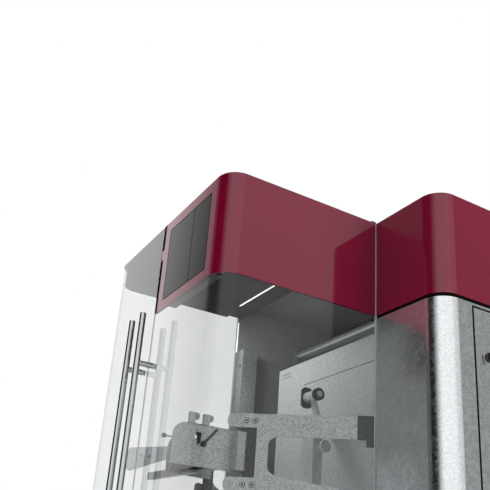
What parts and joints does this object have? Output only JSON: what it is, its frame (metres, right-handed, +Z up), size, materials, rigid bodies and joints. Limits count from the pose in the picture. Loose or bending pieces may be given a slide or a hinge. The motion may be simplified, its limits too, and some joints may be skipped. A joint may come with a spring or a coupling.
{
  "type": "packaging machine",
  "caption": "Glazed floor-standing packaging machine: curved glass door leaves, red header with touch panel, swing-arm bag grippers and a galvanised rear housing.",
  "frame": {"origin": "on the floor, amid the four floor-anchor holes; X = 0 is the joint between the door leaves", "axes": "+Z up, -Y towards the operator at the door leaves, +X to the side on which the rear housing stands out"},
  "size_m": [1.3529, 1.392, 2.206],
  "materials": {
    "galvanised": "spangled galvanised sheet",
    "red_lacquer": "deep red gloss lacquer",
    "clear_glass": "clear bent safety glass",
    "smoked_sheet": "smoked clear sheet",
    "screen_glass": "dark glossy screen",
    "stainless": "ground stainless steel",
    "grey_paint": "textured dark grey coat",
    "black_paint": "satin black coat",
    "black_rubber": "matt rubber",
    "black_plastic": "moulded plastic",
    "lamp_cover": "frosted lamp cover",
    "red_plastic": "glossy red plastic",
    "film": "wound plastic film",
    "aluminium": "machined aluminium"
  },
  "bodies": {
    "cabinet": {"base_frame": "grey_paint", "levelling_feet": "stainless", "floor_pan": "galvanised", "front_roof": "grey_paint", "lamp_strip": "lamp_cover", "rear_roof": "grey_paint", "left_wall": "grey_paint", "partition_wall": "grey_paint", "rear_wall": "galvanised", "rear_shell": "galvanised", "rear_header_band": "red_lacquer", "shadow_gap_strip": "black_paint", "service_hinges": "stainless", "operator_plate": "black_plastic", "control_gear": "black_plastic", "supply_inlet": "black_plastic", "film_magazine": "galvanised", "magazine_hatch": "galvanised", "film_brackets": "aluminium", "follower_post": "stainless", "left_stay": "galvanised", "table_columns": "stainless", "shaft_bearings": "aluminium", "arm_motors": "black_paint"},
    "right_door": {"right_door_glass": "clear_glass", "right_header_panel": "red_lacquer", "touch_screen": "screen_glass", "touch_panel_housing": "black_plastic", "right_handle": "stainless", "right_handle_standoffs": "stainless", "right_door_pivots": "stainless"},
    "left_door": {"left_door_glass": "clear_glass", "left_handle": "stainless", "left_handle_standoffs": "stainless", "left_door_pivots": "stainless"},
    "right_arm": {"right_arm_plate": "galvanised", "right_arm_shaft": "stainless", "right_pivot_bar": "black_paint", "right_arm_screws": "stainless", "right_gripper": "galvanised", "right_jaw_pad": "black_rubber"},
    "left_arm": {"left_arm_plate": "galvanised", "left_arm_shaft": "stainless", "left_pivot_bar": "black_paint", "left_arm_screws": "stainless", "left_gripper": "galvanised", "left_jaw_pad": "black_rubber", "left_guard": "smoked_sheet"},
    "right_clamp_lever": {"right_clamp_lever": "black_plastic"},
    "left_clamp_lever": {"left_clamp_lever": "black_plastic"},
    "front_thumb_screw": {"front_thumb_screw": "stainless"},
    "rear_thumb_screw": {"rear_thumb_screw": "stainless"},
    "service_door": {"service_door": "galvanised"},
    "service_lock": {"service_lock": "black_plastic"},
    "emergency_button": {"emergency_button": "red_plastic"},
    "main_switch": {"main_switch": "black_plastic"},
    "guide_roller": {"guide_roller": "stainless"},
    "film_reel": {"film_reel": "film"},
    "film_follower": {"film_follower": "black_plastic"},
    "bag_table": {"bag_table": "stainless"}
  },
  "joints": [
    {"name": "right_door_hinge", "type": "hinge", "parent": "cabinet", "child": "right_door", "pos_m": [0.482, -0.062, 0.17], "axis": [0, 0, 1], "range_deg": [0, 88]},
    {"name": "left_door_hinge", "type": "hinge", "parent": "cabinet", "child": "left_door", "pos_m": [-0.482, -0.062, 0.17], "axis": [0, 0, 1], "range_deg": [-88, 0]},
    {"name": "right_arm_swing", "type": "hinge", "parent": "cabinet", "child": "right_arm", "pos_m": [0.445, 0.0335, 1.525], "axis": [0, 0, 1], "range_deg": [0, 12]},
    {"name": "left_arm_swing", "type": "hinge", "parent": "cabinet", "child": "left_arm", "pos_m": [-0.445, 0.0335, 1.525], "axis": [0, 0, 1], "range_deg": [-12, 0]},
    {"name": "right_lever_turn", "type": "hinge", "parent": "right_arm", "child": "right_clamp_lever", "pos_m": [0.11214, -0.46461, 1.403], "axis": [1, 0, 0], "range_deg": [-50, 20]},
    {"name": "left_lever_turn", "type": "hinge", "parent": "left_arm", "child": "left_clamp_lever", "pos_m": [-0.11214, -0.46461, 1.403], "axis": [1, 0, 0], "range_deg": [-50, 20]},
    {"name": "front_thumb_screw_turn", "type": "hinge", "parent": "right_arm", "child": "front_thumb_screw", "pos_m": [0.11414, -0.50461, 1.49], "axis": [0, 1, 0], "continuous": true},
    {"name": "rear_thumb_screw_turn", "type": "hinge", "parent": "right_arm", "child": "rear_thumb_screw", "pos_m": [0.11414, -0.45261, 1.49], "axis": [0, 1, 0], "continuous": true},
    {"name": "service_door_hinge", "type": "hinge", "parent": "cabinet", "child": "service_door", "pos_m": [0.7915, 0.5885, 0.26], "axis": [0, 0, 1], "range_deg": [0, 110]},
    {"name": "service_lock_turn", "type": "hinge", "parent": "service_door", "child": "service_lock", "pos_m": [0.785, 0.1355, 1.671], "axis": [1, 0, 0], "range_deg": [0, 90]},
    {"name": "emergency_button_press", "type": "slide", "parent": "cabinet", "child": "emergency_button", "axis": [-1, 0, 0], "range_m": [0, 0.006], "stiffness_N_per_m": 1500},
    {"name": "main_switch_turn", "type": "hinge", "parent": "cabinet", "child": "main_switch", "pos_m": [0.785, 0.0485, 1.05], "axis": [1, 0, 0], "range_deg": [-90, 0]},
    {"name": "guide_roller_spin", "type": "hinge", "parent": "cabinet", "child": "guide_roller", "pos_m": [0, 0.1265, 1.927], "axis": [1, 0, 0], "continuous": true},
    {"name": "film_reel_spin", "type": "hinge", "parent": "cabinet", "child": "film_reel", "pos_m": [0.09125, 0.3785, 0.82], "axis": [1, 0, 0], "continuous": true},
    {"name": "film_follower_spin", "type": "hinge", "parent": "cabinet", "child": "film_follower", "pos_m": [0.148, -0.0405, 1.647], "axis": [1, 0, 0], "continuous": true},
    {"name": "bag_table_lift", "type": "slide", "parent": "cabinet", "child": "bag_table", "axis": [0, 0, 1], "range_m": [0, 0.3]}
  ],
  "couplings": [
    {"joint": "left_arm_swing", "follows": "right_arm_swing", "ratio": -1}
  ]
}
